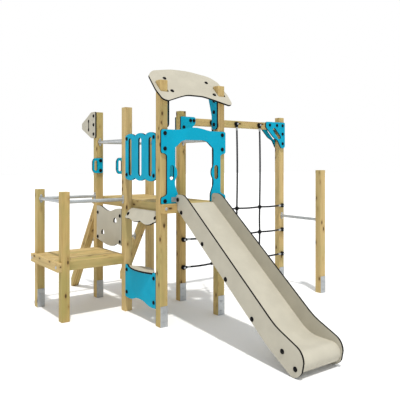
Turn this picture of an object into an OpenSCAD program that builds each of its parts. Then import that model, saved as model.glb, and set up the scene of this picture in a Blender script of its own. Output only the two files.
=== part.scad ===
// Timber climbing and play tower: ten square posts carry a high deck, a low
// deck, a rope net, a rung ladder, a turning bar and a straight slide.
// Millimetres, +Z up. +X runs from the low deck to the net, +Y to the ladder
// and -Y down the slide. The origin is the middle of the whole footprint on
// the ground.

/* [Timber] */
// Side of a square post
post_w = 90; // [80:1:110]
// Rounding of a post's long edges
post_round = 7; // [3:1:12]
// Thickness of the deck beams
beam_t = 45; // [38:1:50]
// Height of the deck beams
beam_h = 95; // [80:1:120]
// Thickness of the deck boards
board_t = 28; // [22:1:35]
// Widest gap between deck boards
board_gap = 6; // [4:1:10]
// Side of the ladder's square strings
string_w = 90; // [70:1:100]

/* [Plan] */
// Distance between post centres along both sides of a deck
pitch = 740; // [660:5:900]
// Distance between the two posts that carry the net
net_span = 1665; // [1500:5:2000]

/* [Heights] */
// Walking surface of the high deck
deck_z = 1248; // [1150:1:1500]
// Walking surface of the low deck
low_deck_z = 622; // [500:1:700]
// Tops of the two front posts that carry the roof
roof_post_h = 2506; // [2400:1:2900]
// Tops of the other high posts
post_h = 2291; // [2200:1:2800]
// Top of the post behind, at the ladder's right
back_post_h = 2020; // [1990:1:2700]
// Tops of the two posts of the low deck
low_post_h = 1361; // [1200:1:1600]
// Top of the lone post at the far end of the turning bar
bar_post_h = 1571; // [1300:1:1800]

/* [Panels] */
// Thickness of every coloured plastic panel
panel_t = 19; // [15:1:22]
// Gap left between a panel and the post beside it
panel_gap = 2; // [1:0.5:4]
// Diameter of the black bolt caps
cap_d = 38; // [30:1:40]
// Height of the black bolt caps
cap_h = 12; // [8:1:14]
// Diameter of the cap's stem, which fills the bolt hole
stem_d = 12; // [10:1:14]
// Distance of a panel's bolts from the post beside it
bolt_inset = 37; // [34:1:45]

/* [Slide] */
// Outside width of the slide
slide_w = 480; // [420:5:520]
// Slope of the chute below the horizontal
slide_angle = 37.7; // [34:0.1:40]
// Height of the run-out at the foot of the chute
runout_z = 195; // [150:1:250]
// Depth of the side boards, square to the slope
side_depth = 197; // [180:1:230]
// Thickness of the chute's sheet
chute_t = 12; // [8:1:14]

/* [Tubes] */
// Outside diameter of the rails and rungs
tube_d = 38; // [32:1:42]
// Height of the lower rails above the low deck
low_rail_h = 631; // [550:1:700]
// Height of the upper rails above the high deck
high_rail_h = 672; // [640:1:720]
// Height of the turning bar above the ground
bar_z = 930; // [800:1:1200]

/* [Net] */
// Diameter of the rope
rope_d = 22; // [16:1:24]
// Distance between the upright ropes
mesh_x = 400; // [330:5:430]
// Distance between the cross ropes
mesh_z = 335; // [280:5:360]
// Height of the lowest cross rope
mesh_bottom = 403; // [350:1:450]

/* [Ladder] */
// Slope of the ladder at the back
ladder_angle = 55.5; // [50:0.5:65]
// Rise from one rung to the next
rung_rise = 297; // [250:1:320]
// Number of rungs
rung_count = 3; // [2:1:3]

/* [Roof] */
// Slope of the roof board
roof_angle = 45; // [35:1:50]
// Height at which the roof's top face crosses the front posts' centre line
roof_z = 2448; // [2400:1:2600]

/* [Hidden] */
$fn = 48;

PINE = "#c9b27c";
PINE_DARK = "#b9a06a";
BLUE = "#0aa9d2";
STONE = "#cfc8b8";
STEEL = "#a9adb0";
ROPE = "#3b3b3d";
BLACK = "#15161a";

half = post_w / 2;
// Post centres: x to the right, y to the back, from the left roof post
P_ROOF_L = [0, 0];
P_ROOF_R = [pitch, 0];
P_MID_L = [0, pitch];
P_MID_R = [pitch, pitch];
P_BACK_L = [0, 2 * pitch];
P_BACK_R = [pitch, 2 * pitch];
P_LOW_B = [-pitch, 2 * pitch];
P_LOW_F = [-pitch, pitch];
P_NET = [pitch + net_span, pitch];
P_BAR = [pitch + net_span, 0];

// Outer faces of the tower
front_y = -half;
left_x = -half;
mid_x = pitch / 2;

// Ladder: slope of its strings and where their top faces meet the posts
ladder_run = 1 / tan(ladder_angle);
back_y = 2 * pitch + half;
string_top_z = deck_z - beam_h - 15;
string_foot_y = back_y + string_top_z * ladder_run;
string_cut = 105;

// Slide: s is the distance in front of the tower's front posts' centre line
slide_tan = tan(slide_angle);
slide_s0 = half + panel_t + 1;
chute_s0 = half + beam_t + 2;
side_top = deck_z + 94;
chute_s1 = chute_s0 + (deck_z - runout_z) / slide_tan;
nose_s = chute_s1 + 351;

// Fixings that several parts share
bolt_head_d = 20;
bolt_head_h = 7;
cup_head_h = 8;
shoe_t = 5;
angle_t = 4;
bolt_hole = stem_d + 1;

// Middle of the footprint
x_low = P_LOW_B[0] - half - beam_t - cup_head_h;
x_high = P_NET[0] + half;
y_low = -nose_s;
y_high = string_foot_y - string_cut * ladder_run + shoe_t + bolt_head_h;
origin = [(x_low + x_high) / 2, (y_low + y_high) / 2, 0];

module home() { translate(-origin) children(); }

// ---- helpers for outlines ----
function unit(v) = v / norm(v);
function turn(a) = a > 180 ? a - 360 : (a <= -180 ? a + 360 : a);
// Points of the arc that rounds corner b between a and c
function round_corner(a, b, c, r) =
    let (u = unit(a - b), w = unit(c - b),
         half_angle = acos(max(-1, min(1, u * w))) / 2,
         reach = min(r / tan(half_angle), 0.49 * norm(a - b), 0.49 * norm(c - b)),
         rr = reach * tan(half_angle))
    half_angle > 89.5 || r <= 0 ? [b] :
    let (centre = b + unit(u + w) * (rr / sin(half_angle)),
         p = b + u * reach - centre, q = b + w * reach - centre,
         a0 = atan2(p[1], p[0]), sweep = turn(atan2(q[1], q[0]) - a0),
         steps = max(2, ceil(abs(sweep) / 12)))
    [for (i = [0:steps]) centre + rr * [cos(a0 + sweep * i / steps),
                                        sin(a0 + sweep * i / steps)]];
// Closed outline through [x, y, radius] corners
function rounded(c) =
    let (n = len(c), xy = [for (k = c) [k[0], k[1]]])
    [for (i = [0:n - 1])
        each round_corner(xy[(i + n - 1) % n], xy[i], xy[(i + 1) % n], c[i][2])];
// Open path through [x, y, radius] corners, its two ends sharp
function rounded_path(c) =
    let (n = len(c), xy = [for (k = c) [k[0], k[1]]])
    [xy[0], for (i = [1:n - 2]) each round_corner(xy[i - 1], xy[i], xy[i + 1], c[i][2]),
     xy[n - 1]];
// The same corners with their mirror image about the line x = 0
function both_sides(c) = concat(c,
    [for (i = [len(c) - 1:-1:0]) if (c[i][0] != 0) [-c[i][0], c[i][1], c[i][2]]]);
function flip(c) = [for (k = c) [-k[0], k[1]]];
// A path moved sideways by d, to the right of its direction
function beside(p, d) =
    [for (i = [0:len(p) - 1])
        let (a = p[max(0, i - 1)], b = p[min(len(p) - 1, i + 1)], t = unit(b - a))
        p[i] + d * [t[1], -t[0]]];
// A smooth run of points through the knots, from the second to the last but one
function through(k, n) =
    [for (i = [1:len(k) - 3]) for (j = [0:n - 1])
        let (t = j / n, a = k[i - 1], b = k[i], c = k[i + 1], d = k[i + 2])
        0.5 * (2 * b + (c - a) * t + (2 * a - 5 * b + 4 * c - d) * t * t
               + (3 * b - a - 3 * c + d) * t * t * t),
     k[len(k) - 2]];
function through_all(k, n) = through(concat([k[0]], k, [k[len(k) - 1]]), n);

// A rectangle with exact round corners
module soft_square(w, d, r) {
    square([w - 2 * r, d], center = true);
    square([w, d - 2 * r], center = true);
    for (i = [-1, 1], j = [-1, 1]) translate([i * (w / 2 - r), j * (d / 2 - r)]) circle(r, $fn = 24);
}
// A slot with round ends, from a to b
module slot(a, b, w) {
    for (p = [a, b]) translate(p) circle(d = w, $fn = 32);
    t = unit(b - a) * 1;
    n = [-t[1], t[0]] * w / 2;
    polygon([a + n, b + n, b - n, a - n]);
}
// Stand an XY drawing up so that its x is X and its y is Z, with its face to -Y
module facing_front(y, t) { translate([0, y, 0]) rotate([90, 0, 0]) linear_extrude(t) children(); }
// Stand an XY drawing up so that its x is Y and its y is Z, with its back at x
module facing_side(x, t) { translate([x, 0, 0]) rotate([90, 0, 90]) linear_extrude(t) children(); }

// ---- timber ----
module post(p, h) {
    home() color(PINE) translate([p[0], p[1], 0]) linear_extrude(h) soft_square(post_w, post_w, post_round);
}
module post_roof_left() { post(P_ROOF_L, roof_post_h); }
module post_roof_right() { post(P_ROOF_R, roof_post_h); }
module post_mid_left() { post(P_MID_L, post_h); }
module post_mid_right() { post(P_MID_R, post_h); }
module post_back_left() { post(P_BACK_L, post_h); }
module post_back_right() { post(P_BACK_R, back_post_h); }
module post_low_back() { post(P_LOW_B, low_post_h); }
module post_low_front() { post(P_LOW_F, low_post_h); }
module post_net() { post(P_NET, post_h); }
module post_bar() { post(P_BAR, bar_post_h); }

// A beam's long face with rounded corners, standing on its lower edge
function beam_face(length) = rounded([[0, 0, 14], [length, 0, 14], [length, beam_h, 14], [0, beam_h, 14]]);

module high_front_beam() {
    home() color(PINE) translate([left_x, 0, deck_z - beam_h])
        facing_front(front_y, beam_t) polygon(beam_face(pitch + post_w));
}
module high_back_beam() {
    home() color(PINE_DARK) translate([left_x, 0, deck_z - beam_h])
        facing_front(back_y + beam_t, beam_t) polygon(beam_face(pitch + post_w));
}
joist_len = 2 * pitch + post_w;
module high_side_joists() {
    home() color(PINE_DARK) for (x = [half, pitch - half - beam_t])
        translate([0, front_y, deck_z - beam_h]) facing_side(x, beam_t) square([joist_len, beam_h]);
}
bearer_w = 30;
bearer_h = 45;
low_bearer_h = 60;
bay_x0 = half + beam_t;
bay_x1 = pitch - half - beam_t;
module high_bearers() {
    home() color(PINE_DARK) for (x = [bay_x0, bay_x1 - bearer_w])
        translate([x, front_y, deck_z - board_t - bearer_h]) cube([bearer_w, joist_len, bearer_h]);
}
// Boards side by side from y0 to y1, as many as board_nominal allows
board_nominal = 130;
module boards(x0, x1, y0, y1, top) {
    count = round((y1 - y0) / board_nominal);
    width = (y1 - y0 - (count - 1) * board_gap) / count;
    for (i = [0:count - 1])
        translate([x0, y0 + i * (width + board_gap), top - board_t]) cube([x1 - x0, width, board_t]);
}
module high_deck_boards() {
    home() color(PINE) boards(bay_x0, bay_x1, front_y, back_y, deck_z);
}
low_x0 = -pitch - half;
module low_side_beam() {
    home() color(PINE) translate([0, pitch - half, low_deck_z - beam_h])
        facing_side(low_x0 - beam_t, beam_t) polygon(beam_face(pitch + post_w));
}
clear = pitch - post_w;
module low_cross_joists() {
    home() color(PINE) for (y = [pitch + beam_t, 2 * pitch])
        translate([-pitch + half, 0, low_deck_z - beam_h])
            facing_front(y, beam_t) square([clear, beam_h]);
}
low_bearer_y0 = pitch + half;
module low_bearers() {
    home() color(PINE_DARK) for (x = [low_x0, -half])
        translate([x, low_bearer_y0, low_deck_z - board_t - low_bearer_h]) cube([half, clear, low_bearer_h]);
}
module low_deck_boards() {
    home() color(PINE) boards(low_x0, 0, low_bearer_y0, low_bearer_y0 + clear, low_deck_z);
}
net_beam_top = post_h - 79;
module net_beam() {
    home() color(PINE) translate([P_MID_R[0] + half, pitch, net_beam_top - half])
        rotate([90, 0, 90]) linear_extrude(net_span - post_w) soft_square(post_w, post_w, post_round);
}
module ladder_strings() {
    // Side view: y to the back, z up; the foot is cut plumb and level
    foot = string_foot_y;
    drop = string_w / cos(ladder_angle);
    cut_y = foot - string_cut * ladder_run;
    home() color(PINE) for (x = [-string_w / 2, pitch - string_w / 2])
        facing_side(x, string_w)
            polygon([[back_y, string_top_z], [cut_y, string_cut], [cut_y, 0],
                     [foot - drop * ladder_run, 0], [back_y, string_top_z - drop]]);
}

// ---- tubes with two-bolt flanges ----
flange_w = 52;
flange_h = 96;
flange_t = 6;
flange_bolt = 34;
// A tube from the origin along +X, of a length between two faces, with a flange at each end
module flanged_tube(length) {
    translate([flange_t, 0, 0]) rotate([0, 90, 0]) cylinder(d = tube_d, h = length - 2 * flange_t);
    for (e = [0, 1]) translate([e * length, 0, 0]) mirror([e, 0, 0]) {
        rotate([90, 0, 90]) linear_extrude(flange_t) {
            circle(d = flange_w);
            for (s = [-1, 1]) translate([0, s * flange_bolt]) circle(d = flange_h - 2 * flange_bolt);
            square([flange_h - 2 * flange_bolt, 2 * flange_bolt], center = true);
        }
        for (s = [-1, 1]) translate([flange_t, 0, s * flange_bolt])
            rotate([0, 90, 0]) cylinder(d = bolt_head_d, h = bolt_head_h);
    }
}
low_rail_z = low_deck_z + low_rail_h;
high_rail_z = deck_z + high_rail_h;
module rail_x(x, y, z, length) { home() color(STEEL) translate([x, y, z]) flanged_tube(length); }
module rail_y(x, y, z, length) { home() color(STEEL) translate([x, y, z]) rotate([0, 0, 90]) flanged_tube(length); }
module low_rail_side() { rail_y(-pitch, pitch + half, low_rail_z, clear); }
module low_rail_front() { rail_x(-pitch + half, pitch, low_rail_z, clear); }
module low_rail_back() { rail_x(-pitch + half, 2 * pitch, low_rail_z, clear); }
module high_rail_left() { rail_y(0, pitch + half, high_rail_z, clear); }
module high_rail_back() { rail_x(half, 2 * pitch, high_rail_z, clear); }
module high_rail_right() { rail_y(pitch, half, high_rail_z, clear); }
module turning_bar() { rail_y(P_BAR[0], half, bar_z, clear); }
rung_top_z = deck_z - 284;
module ladder_rungs() {
    for (i = [0:rung_count - 1]) {
        z = rung_top_z - i * rung_rise;
        y = back_y + (string_top_z - string_w / 2 / cos(ladder_angle) - z) * ladder_run;
        rail_x(string_w / 2, y, z, pitch - string_w);
    }
}

// ---- panels ----
module bolt_holes(at) { for (p = at) translate([p[0], p[1]]) circle(d = bolt_hole, $fn = 24); }

// Arch between the roof posts: x from the middle, z from the deck
arch_w = pitch / 2 + half;
arch_leg_in = pitch / 2 - 121;
arch_leg_out = pitch / 2 - 25;
arch_foot_in = slide_w / 2 - 32;
arch_bolts = [for (x = [-pitch / 2, pitch / 2]) for (z = [30, 562, 718]) [x, z]];
arch_outline = [
    [0, 800, 500], [200, 757, 320], [arch_w, 757, 24], [arch_w, 518, 24], [arch_leg_out + 28, 513, 22],
    [arch_leg_out, 494, 20], [arch_leg_out, 100, 20], [arch_leg_out + 20, 82, 22], [arch_w, 66, 20],
    [arch_w, 2, 10], [arch_foot_in, 2, 4], [arch_foot_in, 85, 60], [arch_leg_in, 190, 90],
    [arch_leg_in, 235, 50], [arch_leg_in - 28, 285, 50], [arch_leg_in - 28, 340, 50], [arch_leg_in, 390, 90],
    [arch_leg_in, 572, 30], [arch_leg_in - 30, 594, 26], [arch_leg_in - 85, 642, 40], [110, 656, 60],
    [0, 656, 0]];
module arch_panel() {
    home() color(BLUE) translate([mid_x, 0, deck_z]) facing_front(front_y, panel_t) difference() {
        polygon(rounded(both_sides(arch_outline)));
        for (e = [-1, 1]) slot([e * (arch_leg_in + 37), 267], [e * (arch_leg_in + 37), 367], 52);
        bolt_holes(arch_bolts);
    }
}

// Baluster panel: a run of three uprights under scalloped edges
bal_y0 = half + panel_gap;
bal_len = pitch - post_w - 2 * panel_gap;
bal_low = 225;
bal_high = 737;
bal_bars = 3;
scallop = 28;
// Radius of an arc of the given chord and rise
function arc_r(chord, rise) = (chord * chord / 4 + rise * rise) / (2 * rise);
module bump(x, z, chord, rise, up) {
    r = arc_r(chord, rise);
    intersection() {
        translate([x, z + up * (rise - r)]) circle(r, $fn = 96);
        translate([x - chord / 2, up > 0 ? z - 1 : z - rise]) square([chord, rise + 1]);
    }
}
bolt_y = [bolt_inset - panel_gap, bal_len + panel_gap - bolt_inset];
bal_bolts = [for (y = bolt_y) for (z = [bal_low + 60, bal_high - 54]) [y, z]];
bal_slot_w = 66;
module baluster_drawing() {
    step = bal_len / bal_bars;
    difference() {
        union() {
            translate([0, bal_low + scallop]) square([bal_len, bal_high - bal_low - 2 * scallop]);
            for (i = [0:bal_bars - 1]) {
                bump(step * (i + 0.5), bal_high - scallop, step, scallop, 1);
                bump(step * (i + 0.5), bal_low + scallop, step, scallop, -1);
            }
        }
        for (i = [0:bal_bars - 1])
            slot([step * (i + 0.5), bal_low + 83], [step * (i + 0.5), bal_high - 83], bal_slot_w);
        bolt_holes(bal_bolts);
    }
}
module baluster_left() {
    home() color(BLUE) translate([0, bal_y0, deck_z]) facing_side(left_x, panel_t) baluster_drawing();
}
module baluster_right() {
    home() color(BLUE) translate([0, pitch + bal_y0, deck_z])
        facing_side(pitch + half - panel_t, panel_t) baluster_drawing();
}

// Riser between the decks, with two finger holes
riser_bolts = [for (y = bolt_y) for (z = [141, 437]) [y, z]];
riser_top = [[0, 520], [125, 514], [255, 482], [360, 478], [530, 520], [bal_len, 518]];
riser_bottom = [[bal_len, 113], [600, 109], [390, 72], [225, 71], [110, 107], [0, 100]];
finger_r = 40;
module finger_hole(y, z, r) {
    translate([y, z]) intersection() {
        circle(r, $fn = 48);
        translate([-r, -r * 0.45]) square([2 * r, 2 * r]);
    }
}
module riser_panel() {
    home() color(STONE) translate([0, pitch + bal_y0, low_deck_z]) facing_side(left_x, panel_t) difference() {
        polygon(concat(through_all(riser_top, 6), through_all(riser_bottom, 6)));
        finger_hole(160, 367, finger_r);
        finger_hole(bal_len - 168, 200, finger_r);
        bolt_holes(riser_bolts);
    }
}

// Awning over the counter, leaning out at its lower edge
awning_lean = 29.5;
awning_top_z = deck_z - 84;
awning_bolts = [for (y = bolt_y) [y, -76]];
awning_lobes = [[0, 118], [40, 130], [105, 128], [150, 138], [205, 152], [300, 146], [345, 134],
                [400, 150], [480, 164], [560, 154], [610, 128], [bal_len, 118]];
module awning_place() { translate([10, bal_y0, awning_top_z]) rotate([0, awning_lean, 0]) children(); }
module awning() {
    home() color(STONE) awning_place() facing_side(0, panel_t) difference() {
        polygon(concat([[0, -40], [55, 0], [bal_len - 55, 0], [bal_len, -40]],
            [for (p = through_all(awning_lobes, 5)) [bal_len - p[0], -p[1]]]));
        bolt_holes(awning_bolts);
    }
}

// Play counter: front panel and lens-shaped shelf
counter_z = 508;
counter_bolts = [for (y = bolt_y) for (z = [229, 477]) [y, z]];
counter_bottom = [[0, 172], [50, 168], [145, 173], [260, 203], [390, 203], [500, 172], [595, 169], [bal_len, 180]];
module counter_panel() {
    home() color(BLUE) translate([0, bal_y0, 0]) facing_side(left_x, panel_t) difference() {
        polygon(concat(
            rounded_path([[bal_len, counter_z - 60, 0], [bal_len, counter_z + 36, 22], [bal_len - 58, counter_z + 20, 20],
                          [bal_len - 70, counter_z, 6], [70, counter_z, 6], [58, counter_z + 20, 20],
                          [0, counter_z + 36, 22], [0, counter_z - 60, 0]]),
            through_all(counter_bottom, 5)));
        bolt_holes(counter_bolts);
    }
}
shelf_front = 54;
shelf_back = 122;
shelf_chord = bal_len - 150;
module counter_shelf() {
    rf = arc_r(shelf_chord, shelf_front);
    rb = arc_r(shelf_chord, shelf_back);
    home() color(STONE) translate([left_x + panel_t / 2, pitch / 2, counter_z]) linear_extrude(panel_t) union() {
        intersection() {
            translate([rf - shelf_front, 0]) circle(rf, $fn = 120);
            translate([-shelf_front, -shelf_chord / 2]) square([shelf_front + 1, shelf_chord]);
        }
        intersection() {
            translate([shelf_back - rb, 0]) circle(rb, $fn = 120);
            translate([0, -shelf_chord / 2]) square([shelf_back, shelf_chord]);
        }
    }
}

// ---- roof ----
roof_half = [[0, 326, 0], [110, 326, 400], [380, 262, 200], [452, 170, 70], [466, -60, 120], [446, -205, 50],
             [390, -226, 40], [200, -142, 260], [100, -104, 200], [0, -104, 0]];
roof_bolts = [for (x = [-272, 272]) for (s = [-66, 142]) [x, s]];
roof_hole_w = post_w + 10;
module roof_board() {
    hole_half = (half + 3) / cos(roof_angle);
    drop = panel_t * tan(roof_angle);
    home() color(STONE) translate([mid_x, 0, roof_z]) rotate([roof_angle, 0, 0])
        translate([0, 0, -panel_t]) linear_extrude(panel_t) difference() {
            polygon(rounded(both_sides(roof_half)));
            for (s = [-1, 1]) translate([s * pitch / 2, -drop / 2])
                soft_square(roof_hole_w, 2 * hole_half + drop, 12);
            bolt_holes(roof_bolts);
        }
}
bracket_z = roof_z - 420;
bracket_bolts = [for (z = [57, 192, 314]) [4, bracket_z + z]];
module bracket_drawing() {
    drop = panel_t / cos(roof_angle);
    top = roof_z - drop - 1;
    reach = 165;
    difference() {
        polygon(rounded([[-half, bracket_z, 42], [half, bracket_z, 42], [half, bracket_z + 150, 60],
                         [reach, top + reach * tan(roof_angle), 12], [-half, top - half * tan(roof_angle), 4]]));
        bolt_holes(bracket_bolts);
    }
}
module roof_brackets() {
    home() color(BLUE) {
        facing_side(half, panel_t) bracket_drawing();
        facing_side(pitch - half - panel_t, panel_t) bracket_drawing();
    }
}
angle_leg = 50;
module roof_angles() {
    under = panel_t;
    home() color(STEEL) for (e = [-1, 1]) for (s = [-66, 142])
        translate([mid_x + e * (mid_x - half - panel_t), 0, roof_z]) rotate([roof_angle, 0, 0])
            translate([0, s, -under]) mirror([e > 0 ? 1 : 0, 0, 0]) {
                translate([0, -25, -angle_t]) cube([angle_leg, 50, angle_t]);
                translate([0, -25, -angle_leg]) cube([angle_t, 50, angle_leg - angle_t]);
            }
}

// ---- gussets, pointer plate and grips ----
gusset_bolts = [[0, -44], [0, -160], [0, -294], [-108, -44], [-242, -44]];
gusset_outline = [[half, 0, 14], [-313, 0, 26], [-313, -74, 30], [-170, -212, 60], [-95, -247, 60],
                  [-28, -356, 40], [half, -356, 42]];
gusset_top = net_beam_top + 12;
module net_gusset_drawing() {
    difference() {
        polygon(rounded(gusset_outline));
        slot([-158, -108], [-62, -206], 30);
        bolt_holes(gusset_bolts);
    }
}
module pair_of_plates(x) {
    home() color(BLUE) for (y = [pitch - half, pitch + half + panel_t])
        translate([x, 0, gusset_top]) facing_front(y, panel_t) children();
}
module net_gussets() { pair_of_plates(P_NET[0]) net_gusset_drawing(); }
small_gusset = [[-half, 0, 14], [172, 0, 26], [172, -84, 40], [110, -140, 60], [64, -232, 30],
                [-half, -232, 20]];
small_gusset_bolts = [[0, -128], [98, -44], [148, -44]];
module tower_gussets() {
    pair_of_plates(P_MID_R[0]) difference() {
        polygon(rounded(small_gusset));
        bolt_holes(small_gusset_bolts);
    }
}
// Pointer plate on the back left post: y from the post's centre, z from the top corner
pointer_top = post_h + 4;
pointer_bolts = [[0, -50], [0, -160], [0, -274]];
module pointer_plate() {
    home() color(STONE) translate([0, 2 * pitch, pointer_top]) facing_side(left_x - panel_t, panel_t) difference() {
        polygon(rounded([[-half, 0, 22], [75, 0, 30], [352, -128, 16], [352, -196, 16], [75, -322, 30], [-half, -322, 22]]));
        translate([148, -108]) circle(22);
        translate([148, -214]) circle(22);
        slot([148, -130], [148, -200], 22);
        bolt_holes(pointer_bolts);
    }
}
// D-shaped grip: x from the post's centre, z from its middle
grip_z = deck_z + 383;
grip_bolts = [[0, -61], [0, 61]];
grip_reach = half + 62;
module grip_drawing() {
    difference() {
        polygon(rounded([[32, -92, 18], [32, 92, 18], [-grip_reach + 20, 92, 42], [-grip_reach, 52, 60],
                         [-grip_reach, -52, 60], [-grip_reach + 20, -92, 42]]));
        polygon(rounded([[-half + 2, -62, 16], [-half + 2, 62, 16], [-grip_reach + 26, 62, 24], [-grip_reach + 26, -62, 24]]));
        bolt_holes(grip_bolts);
    }
}
module grip(y) { home() color(BLUE) translate([0, 0, grip_z]) facing_front(y, panel_t) grip_drawing(); }
module grip_front() { grip(2 * pitch - half); }
module grip_back() { grip(pitch + half + panel_t); }

// ---- rope net ----
// Each rope is cut where a cross clamp grips it, so a clamp's arms meet rope ends face to face
eye_d = 56;
eye_t = 36;
neck_d = 32;
neck_reach = 42;
ferrule_d = 28;
ferrule_l = 44;
clamp_d = 34;
clamp_arm = 25;
rope_y = pitch - half - 20;
eye_z = net_beam_top - 42;
mesh_mid = P_MID_R[0] + net_span / 2;
upright_x = [for (i = [-1:1]) mesh_mid + i * mesh_x];
cross_z = [for (i = [0:2]) mesh_bottom + i * mesh_z];
eye_reach = neck_reach + ferrule_l;
module rope(d, from, to) { translate([0, 0, from]) cylinder(d = d, h = to - from, $fn = 24); }
module rope_uprights() {
    ends = concat(cross_z, [eye_z - eye_reach + clamp_arm]);
    home() color(ROPE) for (x = upright_x) translate([x, rope_y, 0])
        for (i = [0:len(cross_z) - 1]) rope(rope_d, ends[i] + clamp_arm, ends[i + 1] - clamp_arm);
}
module rope_crossings() {
    ends = concat([P_MID_R[0] + eye_reach - clamp_arm], upright_x, [P_NET[0] - eye_reach + clamp_arm]);
    home() color(ROPE) for (z = cross_z) translate([0, rope_y, z]) rotate([0, 90, 0])
        for (i = [0:len(ends) - 2]) rope(rope_d, ends[i] + clamp_arm, ends[i + 1] - clamp_arm);
}
module rope_clamps() {
    home() color(BLACK) for (x = upright_x) for (z = cross_z) translate([x, rope_y, z]) {
        translate([0, 0, z == cross_z[0] ? 0 : -clamp_arm])
            cylinder(d = clamp_d, h = z == cross_z[0] ? clamp_arm : 2 * clamp_arm, $fn = 24);
        translate([-clamp_arm, 0, 0]) rotate([0, 90, 0]) cylinder(d = clamp_d, h = 2 * clamp_arm, $fn = 24);
    }
}
// Every rope end hangs from a moulded socket bolted to the timber behind it
module at_rope_ends() {
    for (x = upright_x) translate([x, rope_y, eye_z]) children();
    for (z = cross_z) {
        translate([P_MID_R[0], rope_y, z]) rotate([0, -90, 0]) children();
        translate([P_NET[0], rope_y, z]) rotate([0, 90, 0]) children();
    }
}
eye_back = pitch - half - rope_y;
module rope_eyes() {
    home() color(BLACK) at_rope_ends() {
        translate([0, eye_back, 0]) rotate([90, 0, 0]) rotate_extrude()
            polygon([[0, 0], [eye_d / 2, 0], [eye_d / 2, eye_t - 12], [eye_d / 2 - 8, eye_t], [0, eye_t]]);
        translate([0, 0, -neck_reach]) cylinder(d = neck_d, h = neck_reach);
    }
}
module rope_ferrules() {
    home() color(STEEL) at_rope_ends() {
        translate([0, 0, -eye_reach]) cylinder(d = ferrule_d, h = ferrule_l);
        translate([0, eye_back - eye_t, 0]) rotate([90, 0, 0]) cylinder(d = 24, h = 8);
    }
}

// ---- slide: s is the distance forward, z is up ----
side_corner_s = slide_s0 + 147;
function side_line(s) = side_top - (s - side_corner_s) * slide_tan;
function low_line(s) = side_line(s) - side_depth / cos(slide_angle);
side_outline = [
    [chute_s0, low_line(chute_s0), 12], [chute_s0, deck_z + 2, 0], [slide_s0, deck_z + 2, 0],
    [slide_s0, side_top, 42], [side_corner_s, side_top, 170],
    [chute_s1 + 41, side_line(chute_s1 + 41), 480], [nose_s, runout_z + 22, 120],
    [nose_s, 0, 105], [nose_s - 118, 0, 120], [chute_s1 - 54, low_line(chute_s1 - 54), 260]];
// Tie bars lie just under the chute; the last two carry its run-out and its nose
tie_d = 20;
tie_under = (chute_t + tie_d / 2 + 1) / cos(slide_angle);
tie_bars = concat([for (i = [0:3]) let (s = slide_s0 + 100 + i * 354) [s, chute_z(s) - tie_under]],
                  [[chute_s1 + 131, runout_z - chute_t - tie_d / 2 - 1], [nose_s - 80, 74]]);
slide_hook = [slide_s0 + 42, deck_z + 42];
function chute_z(s) = deck_z - (s - chute_s0) * slide_tan;
module slide_side(x) {
    home() color(STONE) translate([x, 0, 0]) rotate([90, 0, 90]) linear_extrude(panel_t) difference() {
        polygon(flip(rounded(side_outline)));
        bolt_holes(flip(concat(tie_bars, [slide_hook])));
    }
}
slide_x0 = mid_x - slide_w / 2;
slide_x1 = mid_x + slide_w / 2;
module slide_side_left() { slide_side(slide_x0); }
module slide_side_right() { slide_side(slide_x1 - panel_t); }
chute_path = rounded_path([[chute_s0, deck_z, 0], [chute_s1, runout_z, 300],
                           [nose_s - 14, runout_z, 96], [nose_s - 14, 24, 0]]);
chute_w = slide_w - 2 * panel_t;
module slide_chute() {
    under = beside(chute_path, chute_t);
    home() color(STONE) translate([slide_x0 + panel_t, 0, 0]) rotate([90, 0, 90])
        linear_extrude(chute_w)
            polygon(flip(concat(chute_path, [for (i = [len(under) - 1:-1:0]) under[i]])));
}
module slide_ties() {
    home() color(STEEL) for (p = tie_bars) translate([slide_x0 + panel_t, -p[0], p[1]])
        rotate([0, 90, 0]) cylinder(d = tie_d, h = chute_w, $fn = 32);
}
// Angles that hold the slide's sides to the arch panel's feet
hook_leg = 54;
module slide_brackets() {
    home() color(STEEL) for (e = [0, 1])
        translate([e ? slide_x1 : slide_x0, front_y - panel_t, slide_hook[1]]) mirror([1 - e, 0, 0]) {
            difference() {
                translate([0, -hook_leg, -25]) cube([angle_t, hook_leg, 50]);
                translate([-1, -slide_hook[0] - front_y + panel_t, 0]) rotate([0, 90, 0])
                    cylinder(d = bolt_hole, h = angle_t + 2, $fn = 24);
            }
            translate([0, -angle_t, -25]) cube([hook_leg, angle_t, 50]);
            translate([30, -angle_t, 0]) rotate([90, 0, 0]) cylinder(d = bolt_head_d, h = bolt_head_h);
        }
}

// ---- fixings ----
// A domed cap on a stem, standing up along +Z with its underside at 0
module cap(stem) {
    rotate_extrude() polygon(concat([[0, -stem], [stem_d / 2, -stem], [stem_d / 2, 0], [cap_d / 2, 0]],
        [for (a = [15, 50, 90]) [cap_d / 2 * cos(a), cap_h * sin(a)]]));
}
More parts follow.
